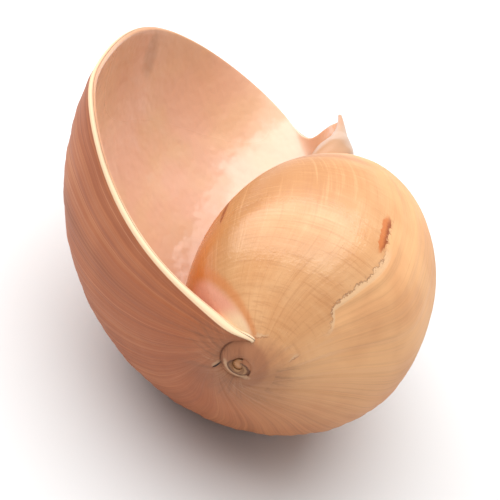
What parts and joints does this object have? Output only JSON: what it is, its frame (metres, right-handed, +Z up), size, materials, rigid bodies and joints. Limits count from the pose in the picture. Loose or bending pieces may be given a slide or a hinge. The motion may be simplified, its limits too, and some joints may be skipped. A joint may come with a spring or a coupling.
{
  "type": "baler shell",
  "caption": "Large smooth melon-shaped sea snail shell lying on its back, with a very wide mouth, a thin rounded lip, a coiled apex and a pointed pillar beside its canal notch.",
  "frame": {"origin": "on the ground plane under the middle of the shell's bounding box", "axes": "+Z up as the shell lies on its back with its mouth up, +Y along the coiling axis from the apex to the canal end, +X towards the side of the swollen body whorl, away from the lip"},
  "size_m": [0.141, 0.1994, 0.1091],
  "materials": {
    "shell": "natural peach-tan shell with fine growth lines, glossy cream-pink inside"
  },
  "bodies": {
    "root": {"shell": "shell"}
  },
  "joints": []
}
